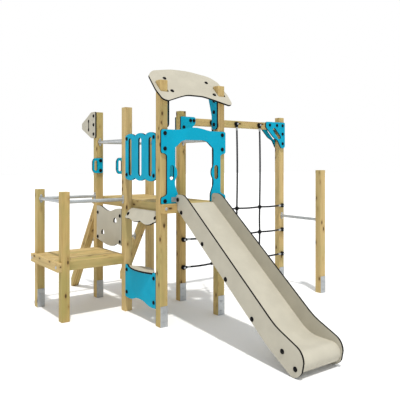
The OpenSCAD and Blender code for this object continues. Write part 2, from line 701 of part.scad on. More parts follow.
// Caps on faces to the front, back, left and right, at points measured in the face from a corner
module caps_front(x0, y, z0, at) { for (p = at) translate([x0 + p[0], y, z0 + p[1]]) rotate([90, 0, 0]) cap(panel_t); }
module caps_back(x0, y, z0, at) { for (p = at) translate([x0 + p[0], y, z0 + p[1]]) rotate([-90, 0, 0]) cap(panel_t); }
module caps_left(x, y0, z0, at, stem = panel_t) {
    for (p = at) translate([x, y0 + p[0], z0 + p[1]]) rotate([0, -90, 0]) cap(stem);
}
module caps_right(x, y0, z0, at, stem = panel_t) {
    for (p = at) translate([x, y0 + p[0], z0 + p[1]]) rotate([0, 90, 0]) cap(stem);
}
module panel_caps() {
    home() color(BLACK) {
        caps_front(mid_x, front_y - panel_t, deck_z, arch_bolts);
        caps_left(left_x, bal_y0, deck_z, bal_bolts);
        caps_right(pitch + half, pitch + bal_y0, deck_z, bal_bolts);
        caps_left(left_x, pitch + bal_y0, low_deck_z, riser_bolts);
        caps_left(left_x, bal_y0, 0, counter_bolts);
        awning_place() caps_left(0, 0, 0, awning_bolts);
        caps_left(left_x - panel_t, 2 * pitch, pointer_top, pointer_bolts);
        for (g = [[P_NET[0], gusset_bolts], [P_MID_R[0], small_gusset_bolts]]) {
            caps_front(g[0], pitch - half - panel_t, gusset_top, g[1]);
            caps_back(g[0], pitch + half + panel_t, gusset_top, g[1]);
        }
        caps_front(0, 2 * pitch - half - panel_t, grip_z, grip_bolts);
        caps_back(0, pitch + half + panel_t, grip_z, grip_bolts);
        caps_right(half + panel_t, 0, 0, bracket_bolts);
        caps_left(pitch - half - panel_t, 0, 0, bracket_bolts);
        translate([mid_x, 0, roof_z]) rotate([roof_angle, 0, 0])
            for (p = roof_bolts) translate([p[0], p[1], 0]) cap(panel_t);
        caps_left(slide_x0, 0, 0, flip(tie_bars));
        caps_right(slide_x1, 0, 0, flip(tie_bars));
        caps_left(slide_x0 - angle_t, 0, 0, flip([slide_hook]), panel_t + angle_t);
        caps_right(slide_x1 + angle_t, 0, 0, flip([slide_hook]), panel_t + angle_t);
    }
}
module beam_bolts() {
    beam_mid = deck_z - beam_h / 2;
    home() color(STEEL) {
        for (x = [0, pitch]) {
            translate([x, front_y - beam_t, beam_mid]) rotate([90, 0, 0]) cup_head();
            translate([x, back_y + beam_t, beam_mid]) rotate([-90, 0, 0]) cup_head();
        }
        for (y = [pitch, 2 * pitch])
            translate([low_x0 - beam_t, y, low_deck_z - beam_h / 2]) rotate([0, -90, 0]) cup_head();
    }
}
module cup_head() { rotate_extrude() polygon([[0, 0], [17, 0], [16, 4], [11, cup_head_h - 1], [0, cup_head_h]]); }
// An angle behind a panel: one leg on the panel's back, one on the post's side
module cleat(x, y, z, inward, end) {
    translate([x, y, z]) mirror([inward ? 0 : 1, 0, 0]) mirror([0, end ? 0 : 1, 0]) {
        translate([0, -18, -20]) cube([angle_t, 18 + bolt_inset - angle_t, 40]);
        translate([0, bolt_inset - angle_t, -20]) cube([40, angle_t, 40]);
    }
}
module cleats(x, y0, z0, at, inward = true) {
    for (p = at) cleat(x, y0 + p[0], z0 + p[1], inward, p[0] > bal_len / 2);
}
module panel_cleats() {
    home() color(STEEL) {
        cleats(left_x + panel_t, bal_y0, deck_z, bal_bolts);
        cleats(left_x + panel_t, pitch + bal_y0, low_deck_z, riser_bolts);
        cleats(left_x + panel_t, bal_y0, 0, counter_bolts);
        cleats(pitch + half - panel_t, pitch + bal_y0, deck_z, bal_bolts, false);
        awning_place() cleats(panel_t, 0, 0, awning_bolts);
    }
}
shoe_h = 212;
shoe_bolts = [46, 148];
module shoe(p, h, bolts) {
    translate([p[0], p[1], 0]) {
        translate([-half + 2, -shoe_t, 0]) cube([post_w - 4, shoe_t, h]);
        for (z = bolts) translate([0, -shoe_t, z]) rotate([90, 0, 0])
            cylinder(d = bolt_head_d, h = bolt_head_h);
    }
}
module post_shoes() {
    home() color(STEEL) {
        for (p = [P_LOW_B, P_BACK_L, P_BACK_R, P_ROOF_L, P_ROOF_R, P_MID_R, P_NET, P_BAR])
            shoe(p - [0, half], shoe_h, shoe_bolts);
        for (x = [0, pitch]) translate([x, string_foot_y - string_cut * ladder_run, 0])
            rotate([0, 0, 180]) shoe([0, 0], string_cut - 4, [string_cut / 2]);
    }
}

post_roof_left();
post_roof_right();
post_mid_left();
post_mid_right();
post_back_left();
post_back_right();
post_low_back();
post_low_front();
post_net();
post_bar();
high_front_beam();
high_back_beam();
high_side_joists();
high_bearers();
high_deck_boards();
low_side_beam();
low_cross_joists();
low_bearers();
low_deck_boards();
net_beam();
ladder_strings();
ladder_rungs();
arch_panel();
baluster_left();
baluster_right();
riser_panel();
awning();
counter_panel();
counter_shelf();
roof_board();
roof_brackets();
roof_angles();
net_gussets();
tower_gussets();
pointer_plate();
grip_front();
grip_back();
low_rail_side();
low_rail_front();
low_rail_back();
high_rail_left();
high_rail_back();
high_rail_right();
turning_bar();
rope_uprights();
rope_crossings();
rope_clamps();
rope_eyes();
rope_ferrules();
slide_side_left();
slide_side_right();
slide_chute();
slide_ties();
slide_brackets();
panel_caps();
beam_bolts();
panel_cleats();
post_shoes();
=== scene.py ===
"""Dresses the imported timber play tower: timber, sheet panels, zinc-plated steel and laid rope."""
import logging
import math
import random
from dataclasses import dataclass, field
from enum import Enum
from typing import Any, Iterable, Optional, Sequence

import bmesh
import bpy
from mathutils import Euler, Matrix, Vector


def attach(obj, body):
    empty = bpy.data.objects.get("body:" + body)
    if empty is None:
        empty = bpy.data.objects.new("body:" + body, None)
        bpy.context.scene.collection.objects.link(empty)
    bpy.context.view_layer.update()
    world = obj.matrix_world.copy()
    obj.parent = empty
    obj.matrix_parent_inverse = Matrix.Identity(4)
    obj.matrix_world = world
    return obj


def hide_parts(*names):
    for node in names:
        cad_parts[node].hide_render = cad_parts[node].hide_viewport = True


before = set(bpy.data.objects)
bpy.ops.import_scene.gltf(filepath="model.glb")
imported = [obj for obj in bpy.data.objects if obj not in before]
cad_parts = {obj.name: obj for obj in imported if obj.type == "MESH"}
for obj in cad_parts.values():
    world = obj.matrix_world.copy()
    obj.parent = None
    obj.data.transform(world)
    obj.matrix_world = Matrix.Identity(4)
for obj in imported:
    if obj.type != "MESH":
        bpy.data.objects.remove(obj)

LOG = logging.getLogger("play_tower")
MM = 0.001
ROOT = "root"
Colour = tuple[float, float, float]
Solid = list[bmesh.types.BMVert]


# ---------------------------------------------------------------- shader maths

class Value:
    """A shader socket that takes part in Python arithmetic."""

    def __init__(self, shader: "Shader", socket: bpy.types.NodeSocket) -> None:
        """Keeps the socket and the shader that it belongs to.

        Args:
            shader: Node tree wrapper that makes the maths nodes.
            socket: Output socket that carries the value.
        """
        self.shader = shader
        self.socket = socket

    def maths(self, operation: str, *others: Any) -> "Value":
        """Returns the result of one Math node that starts from this value.

        Args:
            operation: Name of the Math node's operation.
            others: The operation's other values.

        Returns:
            The Math node's output.
        """
        inputs = {i: v for i, v in enumerate((self, *others))}
        return self.shader.node("ShaderNodeMath", {"operation": operation}, inputs)

    def reflected(self, operation: str, other: Any) -> "Value":
        """Returns other (operation) self."""
        return self.shader.node("ShaderNodeMath", {"operation": operation}, {0: other, 1: self})

    def __add__(self, other: Any) -> "Value":
        """Returns self + other."""
        return self.maths("ADD", other)

    def __radd__(self, other: Any) -> "Value":
        """Returns other + self."""
        return self.reflected("ADD", other)

    def __sub__(self, other: Any) -> "Value":
        """Returns self - other."""
        return self.maths("SUBTRACT", other)

    def __rsub__(self, other: Any) -> "Value":
        """Returns other - self."""
        return self.reflected("SUBTRACT", other)

    def __mul__(self, other: Any) -> "Value":
        """Returns self * other."""
        return self.maths("MULTIPLY", other)

    def __rmul__(self, other: Any) -> "Value":
        """Returns other * self."""
        return self.reflected("MULTIPLY", other)

    def __truediv__(self, other: Any) -> "Value":
        """Returns self / other."""
        return self.maths("DIVIDE", other)

    def __pow__(self, other: Any) -> "Value":
        """Returns self to the power of other."""
        return self.maths("POWER", other)

    def step(self, low: float, high: float) -> "Value":
        """Returns a smooth 0 to 1 rise of the value between two limits.

        Args:
            low: Value at which the result leaves 0.
            high: Value at which the result reaches 1.

        Returns:
            The eased mask.
        """
        settings = {"interpolation_type": "SMOOTHSTEP"}
        inputs = {"Value": self, "From Min": low, "From Max": high}
        return self.shader.node("ShaderNodeMapRange", settings, inputs)


class Shader:
    """Builds one material's node tree."""

    def __init__(self, name: str) -> None:
        """Starts an empty material.

        Args:
            name: Name of the material.
        """
        self.material = bpy.data.materials.new(name)
        self.material.use_nodes = True
        self.tree = self.material.node_tree
        self.tree.nodes.clear()

    def node(self, kind: str, settings: dict[str, Any], inputs: dict[Any, Any],
             out: Any = 0) -> Value:
        """Adds a node and returns one of its outputs.

        Args:
            kind: Node type.
            settings: Attributes that are set first.
            inputs: Values or links of its sockets, by name or number.
            out: Name or number of the output that is wanted.

        Returns:
            The wrapped output socket.
        """
        made = self.tree.nodes.new(kind)
        for key, value in settings.items():
            setattr(made, key, value)
        for key, value in inputs.items():
            if isinstance(value, Value):
                self.tree.links.new(value.socket, made.inputs[key])
            else:
                made.inputs[key].default_value = value
        return Value(self, made.outputs[out])

    def place(self) -> Value:
        """Returns the point on the piece, in metres."""
        return self.node("ShaderNodeTexCoord", {}, {}, "Object")

    def attribute(self, name: str, out: str = "Vector") -> Value:
        """Returns an attribute of the piece's mesh."""
        return self.node("ShaderNodeAttribute", {"attribute_name": name}, {}, out)

    def parts(self, vector: Value) -> tuple[Value, Value, Value]:
        """Returns the x, y and z of a vector."""
        split = self.node("ShaderNodeSeparateXYZ", {}, {0: vector}).socket.node
        return tuple(Value(self, split.outputs[i]) for i in range(3))

    def vector(self, x: Any, y: Any, z: Any) -> Value:
        """Returns a vector of three values."""
        return self.node("ShaderNodeCombineXYZ", {}, {0: x, 1: y, 2: z})

    def noise(self, at: Value, scale: float, detail: float = 3.0, rough: float = 0.55) -> Value:
        """Returns a cloudy 0 to 1 noise.

        Args:
            at: Point at which it is read.
            scale: Cells in one unit.
            detail: Number of finer layers.
            rough: Strength of the finer layers.

        Returns:
            The noise value.
        """
        return self.node("ShaderNodeTexNoise", {}, {"Vector": at, "Scale": scale, "Detail": detail,
                                                    "Roughness": rough})

    def mix(self, mask: Any, first: Any, second: Any, blend: str = "MIX") -> Value:
        """Returns a colour between two colours.

        Args:
            mask: 0 gives the first colour and 1 the second.
            first: First colour.
            second: Second colour.
            blend: How the second colour is laid over the first.

        Returns:
            The mixed colour.
        """
        made = self.tree.nodes.new("ShaderNodeMix")
        made.data_type = "RGBA"
        made.blend_type = blend
        for index, value in ((0, mask), (6, first), (7, second)):
            if isinstance(value, Value):
                self.tree.links.new(value.socket, made.inputs[index])
                continue
            made.inputs[index].default_value = (*value, 1.0) if isinstance(value, tuple) else value
        return Value(self, made.outputs[2])

    def surface(self, colour: Any, roughness: Any, bump: Optional[Value], depth: float = 0.0,
                **numbers: float) -> bpy.types.Material:
        """Ends the material in one shader.

        Args:
            colour: Colour or its link.
            roughness: Roughness or its link.
            bump: Height of the surface's texture, or None.
            depth: Height in metres of a full rise of bump.
            numbers: Other sockets of the shader that are the same all over.

        Returns:
            The finished material.
        """
        inputs: dict[Any, Any] = {"Base Color": colour, "Roughness": roughness}
        if isinstance(colour, tuple):
            inputs["Base Color"] = (*colour, 1.0)
        inputs.update({key.replace("_", " "): value for key, value in numbers.items()})
        if bump is not None:
            relief = {"Strength": 1.0, "Distance": depth, "Height": bump}
            inputs["Normal"] = self.node("ShaderNodeBump", {}, relief)
        shader = self.node("ShaderNodeBsdfPrincipled", {}, inputs)
        self.node_output(shader)
        return self.material

    def node_output(self, shader: Value) -> None:
        """Links the shader to the material's surface."""
        end = self.tree.nodes.new("ShaderNodeOutputMaterial")
        self.tree.links.new(shader.socket, end.inputs["Surface"])


# ---------------------------------------------------------------- finishes

class Grain(Enum):
    """Direction in which a timber's fibres run, as the order of (across, across, along)."""

    ALONG_X = (1, 2, 0)
    ALONG_Y = (0, 2, 1)
    ALONG_Z = (0, 1, 2)


@dataclass(frozen=True)
class Pine:
    """Planed pine, pressure treated, with growth rings, fibres, knots and a faint green cast."""

    name: str
    grain: Grain
    lean: float = 0.0
    pale: Colour = (0.55, 0.39, 0.155)
    dark: Colour = (0.28, 0.165, 0.055)
    cast: Colour = (0.29, 0.27, 0.085)
    bleached: Colour = (0.62, 0.51, 0.28)
    knot: Colour = (0.050, 0.024, 0.009)
    ring: float = 9.0 * MM

    def build(self) -> bpy.types.Material:
        """Builds the material.

        Returns:
            A material that reads each solid's own log from the attribute "log".
        """
        s = Shader(self.name)
        at = s.place()
        if self.lean:
            at = s.node("ShaderNodeMapping", {}, {"Vector": at, "Rotation": (-self.lean, 0.0, 0.0)})
        axes = s.parts(at)
        across, over, along = (axes[i] for i in self.grain.value)
        log_u, log_v, seed = s.parts(s.attribute("log"))
        drift = s.noise(s.vector(across * 4.0, over * 4.0, along * 1.1 + seed), 1.0, 2.0)
        u = across + log_u + (drift - 0.5) * 0.03
        v = over + log_v
        radius = (u * u + v * v) ** 0.5
        cells = s.vector(across * 12.0, over * 12.0, along * 5.4 + seed)
        knots = s.node("ShaderNodeTexVoronoi", {}, {"Vector": cells, "Scale": 1.0}, "Distance")
        near_knot = 1.0 - knots.step(0.05, 0.36)
        rings = ((radius + near_knot * 0.012) / self.ring).maths("FRACT")
        late = rings.step(0.35, 0.95) * (1.0 - rings.step(0.95, 1.0))
        fibres = s.noise(s.vector(across * 240.0, over * 240.0, along * 7.0 + seed), 1.0, 3.0, 0.7)
        cloud = s.noise(s.vector(across * 3.0, over * 3.0, along * 1.6 + seed), 1.0, 3.0)
        streaks = s.noise(s.vector(across * 30.0, over * 30.0, along * 1.5 + seed), 1.0, 2.0)
        figure = late * 0.5 + (fibres - 0.5) * 0.6 + (streaks - 0.46) * 1.6
        colour = s.mix(figure, self.pale, self.dark)
        colour = s.mix(cloud.step(0.42, 0.70) * 0.62, colour, self.cast)
        tone = s.noise(s.vector(seed * 3.1, seed, log_u * 40.0), 1.0, 0.0)
        colour = s.mix((tone - 0.38) * 0.9, colour, self.bleached)
        heart = 1.0 - knots.step(0.08, 0.17)
        colour = s.mix(near_knot * 0.55, colour, self.dark)
        colour = s.mix(heart * 0.9, colour, self.knot)
        height = late * -0.4 + fibres * 0.5 - heart * 0.5
        return s.surface(colour, 0.62 + fibres * 0.2, height, 0.0009, Specular_IOR_Level=0.18)


@dataclass(frozen=True)
class Board:
    """Solid-coloured plastic sheet with a dark core that shows along its cut edges."""

    name: str
    face: Colour
    core: Colour
    skin: float = 0.96

    def build(self) -> bpy.types.Material:
        """Builds the material.

        Returns:
            A material that reads how deep a point lies in its sheet from the attribute "depth".
        """
        s = Shader(self.name)
        at = s.place()
        depth = s.attribute("depth", "Fac").maths("ABSOLUTE")
        inside = 1.0 - depth.step(self.skin - 0.03, self.skin + 0.03)
        grain = s.noise(at, 900.0, 2.0)
        cloud = s.noise(at, 6.0, 3.0)
        drawn = s.node("ShaderNodeMapping", {}, {"Vector": at, "Scale": (30.0, 30.0, 260.0)})
        scuffs = s.noise(drawn, 1.0, 2.0)
        pale = tuple(min(1.0, c * 1.03) for c in self.face)
        deep = tuple(c * 0.96 for c in self.face)
        colour = s.mix(cloud.step(0.35, 0.7), deep, pale)
        colour = s.mix(scuffs.step(0.62, 0.8) * 0.05, colour, (0.75, 0.75, 0.74))
        colour = s.mix(inside, colour, self.core)
        rough = 0.42 + grain * 0.16 + inside * 0.15
        return s.surface(colour, rough, grain + inside * scuffs, 0.00018, Specular_IOR_Level=0.09)


@dataclass(frozen=True)
class Zinc:
    """Hot-dip galvanised steel with its faint spangle."""

    name: str
    colour: Colour = (0.60, 0.62, 0.63)
    spangle: float = 90.0

    def build(self) -> bpy.types.Material:
        """Builds the material."""
        s = Shader(self.name)
        at = s.place()
        flakes = s.node("ShaderNodeTexVoronoi", {}, {"Vector": at, "Scale": self.spangle}, "Color")
        flake = s.parts(flakes)[0]
        dull = s.noise(at, 14.0, 4.0)
        dark = tuple(c * 0.72 for c in self.colour)
        colour = s.mix(flake * 0.55 + dull.step(0.3, 0.75) * 0.4, dark, self.colour)
        return s.surface(colour, 0.36 + flake * 0.12 + dull * 0.14, dull, 0.0003, Metallic=0.82)


@dataclass(frozen=True)
class Moulded:
    """Black moulded plastic with a satin skin."""

    name: str
    colour: Colour = (0.003, 0.003, 0.004)

    def build(self) -> bpy.types.Material:
        """Builds the material."""
        s = Shader(self.name)
        at = s.place()
        grain = s.noise(at, 1400.0, 2.0)
        dust = s.noise(at, 60.0, 3.0)
        colour = s.mix(dust.step(0.5, 0.8) * 0.2, self.colour, (0.02, 0.02, 0.02))
        return s.surface(colour, 0.42 + dust * 0.2, grain, 0.00006, Specular_IOR_Level=0.10)


@dataclass(frozen=True)
class Strand:
    """Dark laid rope, its yarns fuzzy and worn paler in patches, with painted shade that keeps the
    grooves between its strands darker than their crowns.
    """

    name: str
    colour: Colour = (0.010, 0.010, 0.012)
    wear_and_crown_light: Colour = (0.050, 0.051, 0.056)

    def build(self) -> bpy.types.Material:
        """Builds the material."""
        s = Shader(self.name)
        at = s.place()
        yarn = s.noise(at, 700.0, 3.0, 0.7)
        wear = s.noise(at, 18.0, 3.0)
        crown = s.attribute("crown", "Fac")
        # Painted shade: the crown attribute leaves the grooves between the strands darker than the
        # crowns; the yarn and wear noise are the rope's own patchy wear.
        colour = s.mix(yarn * 0.45 + crown * 0.45 + wear * 0.15, self.colour, self.wear_and_crown_light)
        return s.surface(colour, 0.86, yarn, 0.0007, Specular_IOR_Level=0.1)


@dataclass(frozen=True)
class Floor:
    """Plain pale studio floor."""

    name: str = "studio_floor"
    colour: Colour = (0.93, 0.93, 0.93)

    def build(self) -> bpy.types.Material:
        """Builds the material."""
        return Shader(self.name).surface(self.colour, 0.9, None)


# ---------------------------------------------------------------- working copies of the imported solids

class Stock:
    """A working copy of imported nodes, merged and cleaned, that can be split into its solids."""

    def __init__(self, *nodes: str) -> None:
        """Copies the nodes' meshes into one.

        Args:
            nodes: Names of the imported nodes.
        """
        self.nodes = nodes
        self.bm = bmesh.new()
        for node in nodes:
            self.bm.from_mesh(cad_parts[node].data)
        bmesh.ops.remove_doubles(self.bm, verts=self.bm.verts, dist=0.02 * MM)
        bmesh.ops.dissolve_limit(self.bm, angle_limit=math.radians(0.4), verts=self.bm.verts,
                                 edges=self.bm.edges, use_dissolve_boundaries=False, delimit=set())

    def solids(self) -> list[Solid]:
        """Returns the vertices of each separate solid."""
        found: list[Solid] = []
        seen: set[bmesh.types.BMVert] = set()
        for start in self.bm.verts:
            if start in seen:
                continue
            seen.add(start)
            group = [start]
            for vert in group:
                for edge in vert.link_edges:
                    other = edge.other_vert(vert)
                    if other not in seen:
                        seen.add(other)
                        group.append(other)
            found.append(group)
        return found

    @staticmethod
    def box(solid: Solid) -> tuple[Vector, Vector]:
        """Returns the lowest and highest corner of a solid."""
        low = Vector(min(v.co[i] for v in solid) for i in range(3))
        high = Vector(max(v.co[i] for v in solid) for i in range(3))
        return low, high

    @staticmethod
    def flat_faces(solid: Solid) -> tuple[Vector, list[bmesh.types.BMFace]]:
        """Finds the direction in which most of a solid's surface looks.

        Args:
            solid: Vertices of the solid.

        Returns:
            The direction and the faces that look along it.
        """
        groups: dict[tuple[int, int, int], list[bmesh.types.BMFace]] = {}
        for face in {f for v in solid for f in v.link_faces}:
            key = tuple(round(c * 20) for c in face.normal)
            groups.setdefault(key, []).append(face)
        largest = max(groups.values(), key=lambda faces: sum(f.calc_area() for f in faces))
        return max(largest, key=lambda f: f.calc_area()).normal.copy(), largest


def soften(bm: bmesh.types.BMesh, angle: float = 32.0) -> None:
    """Shades a mesh smooth but for edges that turn sharply.

    Args:
        bm: Mesh to shade.
        angle: Turn in degrees from which an edge stays sharp.
    """
    for face in bm.faces:
        face.smooth = True
    limit = math.radians(angle)
    for edge in bm.edges:
        edge.smooth = len(edge.link_faces) == 2 and edge.calc_face_angle(math.pi) < limit


def finish_piece(name: str, bm: bmesh.types.BMesh, material: bpy.types.Material,
                 replaced: Sequence[str], ease: float = 0.0) -> bpy.types.Object:
    """Turns a mesh into a piece that rides on the frame.

    Args:
        name: Name of the piece.
        bm: Its mesh, which is freed.
        material: Its finish.
        replaced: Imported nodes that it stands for.
        ease: Width in metres by which its sharp edges are rounded.

    Returns:
        The finished object.
    """
    soften(bm)
    mesh = bpy.data.meshes.new(name)
    bm.to_mesh(mesh)
    bm.free()
    mesh.materials.append(material)
    piece = bpy.data.objects.new(name, mesh)
    bpy.context.scene.collection.objects.link(piece)
    if ease:
        bevel = piece.modifiers.new("eased_edges", "BEVEL")
        bevel.width = ease
        bevel.segments = 2
        bevel.limit_method = "ANGLE"
        bevel.angle_limit = math.radians(38.0)
        bevel.harden_normals = True
    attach(piece, ROOT)
    if replaced:
        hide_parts(*replaced)
    LOG.info("%s: %d faces", name, len(mesh.polygons))
    return piece


# ---------------------------------------------------------------- timber

@dataclass
class Timber:
    """Posts, beams, joists, boards and the ladder's strings."""

    slope: float = math.radians(55.5)
    ease: float = 2.2 * MM
    upright: tuple[str, ...] = (
        "post_roof_left", "post_roof_right", "post_mid_left", "post_mid_right", "post_back_left",
        "post_back_right", "post_low_back", "post_low_front", "post_net", "post_bar")
    along_x: tuple[str, ...] = ("high_front_beam", "high_back_beam", "high_deck_boards",
                                "low_cross_joists", "low_deck_boards", "net_beam")
    along_y: tuple[str, ...] = ("high_side_joists", "high_bearers", "low_side_beam", "low_bearers")

    def build(self) -> None:
        """Makes every timber with fibres that run along it."""
        leaning = Pine("pine_leaning", Grain.ALONG_Z, math.pi / 2 - self.slope)
        finishes = ((self.upright, Pine("pine_upright", Grain.ALONG_Z)),
                    (self.along_x, Pine("pine_lengthways", Grain.ALONG_X)),
                    (self.along_y, Pine("pine_crossways", Grain.ALONG_Y)),
                    (("ladder_strings",), leaning))
        for nodes, finish in finishes:
            material = finish.build()
            for node in nodes:
                stock = Stock(node)
                self.give_logs(stock, finish.grain)
                finish_piece(f"timber_{node}", stock.bm, material, (node,), self.ease)

    def give_logs(self, stock: Stock, grain: Grain) -> None:
        """Places the middle of the tree that each solid was cut from.

        Args:
            stock: Timber to mark.
            grain: Direction of its fibres.
        """
        rng = random.Random("".join(stock.nodes))
        layer = stock.bm.verts.layers.float_vector.new("log")
        for solid in stock.solids():
            low, high = stock.box(solid)
            middle = (low + high) / 2
            across, over = grain.value[0], grain.value[1]
            log = Vector((-middle[across] + rng.uniform(-0.05, 0.05),
                          -middle[over] + rng.uniform(0.03, 0.09),
                          rng.uniform(0.0, 60.0)))
            for vert in solid:
                vert[layer] = log


@dataclass
class DeckScrews:
    """Countersunk screws that hold the deck boards to their bearers."""

    radius: float = 5.2 * MM
    inset: float = 17.0 * MM
    margin: float = 28.0 * MM
    sunk: float = 0.6 * MM
    height: float = 1.8 * MM
    taper: float = 0.92
    sides: int = 14

    def build(self) -> None:
        """Makes two screw heads at each end of each board."""
        bm = bmesh.new()
        for node in ("high_deck_boards", "low_deck_boards"):
            stock = Stock(node)
            for solid in stock.solids():
                low, high = stock.box(solid)
                for x in (low.x + self.inset, high.x - self.inset):
                    for y in (low.y + self.margin, high.y - self.margin):
                        self.head(bm, Vector((x, y, high.z)))
            stock.bm.free()
        finish_piece("deck_screws", bm, Zinc("screw_zinc").build(), ())

    def head(self, bm: bmesh.types.BMesh, at: Vector) -> None:
        """Makes one flat head with a round recess.

        Args:
            bm: Mesh that gets it.
            at: Middle of the head, on the board's face.
        """
        place = Matrix.Translation(at + Vector((0.0, 0.0, -self.sunk)))
        made = bmesh.ops.create_cone(bm, cap_ends=True, segments=self.sides, radius1=self.radius,
                                     radius2=self.radius * self.taper, depth=self.height,
                                     matrix=place)
        faces = {f for v in made["verts"] for f in v.link_faces}
        top = max(faces, key=lambda f: f.calc_center_median().z)
        bmesh.ops.inset_individual(bm, faces=[top], thickness=self.radius * 0.45, depth=0.0)
        bmesh.ops.inset_individual(bm, faces=[top], thickness=0.1 * MM, depth=-1.0 * MM)


# ---------------------------------------------------------------- sheet panels

class Tint(Enum):
    """Colours of the sheet panels."""

    BLUE = Board("blue_sheet", (0.0005, 0.335, 0.500), (0.001, 0.006, 0.009))
    STONE = Board("stone_sheet", (0.472, 0.443, 0.362), (0.004, 0.004, 0.004))
    CHUTE = Board("chute_sheet", (0.490, 0.462, 0.380), (0.004, 0.004, 0.004))


@dataclass
class Panels:
    """Every flat panel, with a dark core along its edges."""

    ease: float = 1.0 * MM
    chute_ease: float = 0.8 * MM
    slot_middle: Vector = field(default_factory=lambda: Vector((-155.0, 0.0, -157.0)) * MM)
    slot_run: Vector = field(default_factory=lambda: Vector((96.0, 0.0, -98.0)) * MM)
    slot_width: float = 30.0 * MM
    slot_reach: float = 0.6 * MM
    grip_width: float = 54.0 * MM
    nose_radius: float = 125.0 * MM
    nose_cuts: int = 12
    chute_setback: float = 14.0 * MM
    chute_wall: float = 12.0 * MM
    blue: tuple[str, ...] = ("arch_panel", "baluster_left", "baluster_right", "counter_panel",
                             "roof_brackets", "net_gussets", "tower_gussets", "grip_front",
                             "grip_back")
    stone: tuple[str, ...] = ("riser_panel", "awning", "counter_shelf", "roof_board",
                              "pointer_plate", "slide_side_left", "slide_side_right")

    def build(self) -> None:
        """Makes the panels of both colours, and the slide's chute."""
        for nodes, tint, slot in ((self.blue, Tint.BLUE, "blue_board"),
                                  (self.stone, Tint.STONE, "stone_board")):
            material = tint.value.build()
            for node in nodes:
                stock = Stock(node)
                if node == "net_gussets":
                    self.open_grips(stock)
                if node.startswith("slide_side"):
                    self.roll_nose(stock, self.nose_radius)
                self.measure_depth(stock)
                finish_piece(f"sheet_{node}", stock.bm, material, (node,), self.ease)
        self.chute()

    def open_grips(self, stock: Stock) -> None:
        """Opens the slanting slot of each net gusset to the width of a hand.

        Args:
            stock: The gussets, whose slots are narrower.
        """
        grow = self.grip_width / self.slot_width - 1.0
        along = self.slot_run.normalized()
        across = Vector((-self.slot_run.z, 0.0, self.slot_run.x)).normalized()
        for solid in stock.solids():
            _, high = stock.box(solid)
            for vert in solid:
                offset = vert.co - high - self.slot_middle
                run, side = offset.dot(along), offset.dot(across)
                past = max(0.0, abs(run) - self.slot_run.length / 2)
                if math.hypot(past, side) < self.slot_width / 2 + self.slot_reach:
                    vert.co += across * side * grow + along * math.copysign(past, run) * grow

    def roll_nose(self, stock: Stock, radius: float, wall: float = 0.0) -> None:
        """Rounds the foot of the slide's nose about one centre line.

        Args:
            stock: A side board or the chute.
            radius: Radius of its outer surface.
            wall: Thickness of the chute, or 0 for a board.
        """
        front = min(vert.co.y for vert in stock.bm.verts)
        middle = Vector((0.0, front + radius, self.nose_radius))
        for vert in stock.bm.verts:
            offset = vert.co - middle
            offset.x = 0.0
            if offset.y >= 0.0 or offset.z >= 0.0:
                continue
            reach = radius - wall if vert.co.y - front > wall / 2 and wall else radius
            if wall or offset.length > reach:
                vert.co += offset.normalized() * reach - offset

    def measure_depth(self, stock: Stock) -> None:
        """Marks how far each point lies from the middle of its sheet, from -1 to 1.

        Args:
            stock: Panels to mark.
        """
        layer = stock.bm.verts.layers.float.new("depth")
        for solid in stock.solids():
            normal, _ = stock.flat_faces(solid)
            heights = [vert.co.dot(normal) for vert in solid]
            middle, half = (max(heights) + min(heights)) / 2, (max(heights) - min(heights)) / 2
            for vert, height in zip(solid, heights):
                vert[layer] = (height - middle) / half

    def chute(self) -> None:
        """Makes the slide's bent chute, of one colour right through."""
        stock = Stock("slide_chute")
        for cut in range(1, self.nose_cuts):
            geom = [*stock.bm.verts, *stock.bm.edges, *stock.bm.faces]
            bmesh.ops.bisect_plane(stock.bm, geom=geom, dist=0.01 * MM, plane_no=(0.0, 0.0, 1.0),
                                   plane_co=(0.0, 0.0, self.nose_radius * cut / self.nose_cuts))
        self.roll_nose(stock, self.nose_radius - self.chute_setback, self.chute_wall)
        layer = stock.bm.verts.layers.float.new("depth")
        for vert in stock.bm.verts:
            vert[layer] = 1.0
        finish_piece("sheet_slide_chute", stock.bm, Tint.CHUTE.value.build(),
                     ("slide_chute",), self.chute_ease)


# ---------------------------------------------------------------- steel and caps

@dataclass
class Steelwork:
    """Rails, rungs, angles, shoes, bolts and ferrules."""

    ease: float = 0.7 * MM
    tubes: tuple[str, ...] = ("ladder_rungs", "low_rail_side", "low_rail_front", "low_rail_back",
                              "high_rail_left", "high_rail_back", "high_rail_right", "turning_bar",
                              "slide_ties")
    fixings: tuple[str, ...] = ("roof_angles", "rope_ferrules", "slide_brackets", "beam_bolts",
                                "panel_cleats", "post_shoes")

    def build(self) -> None:
        """Makes each steel node with eased edges."""
        small = Zinc("fixing_zinc", (0.52, 0.54, 0.55), 140.0)
        for nodes, finish, slot in ((self.tubes, Zinc("tube_zinc"), "zinc_tube"),
                                    (self.fixings, small, "zinc_fixing")):
            material = finish.build()
            for node in nodes:
                finish_piece(f"steel_{node}", Stock(node).bm, material, (node,), self.ease)


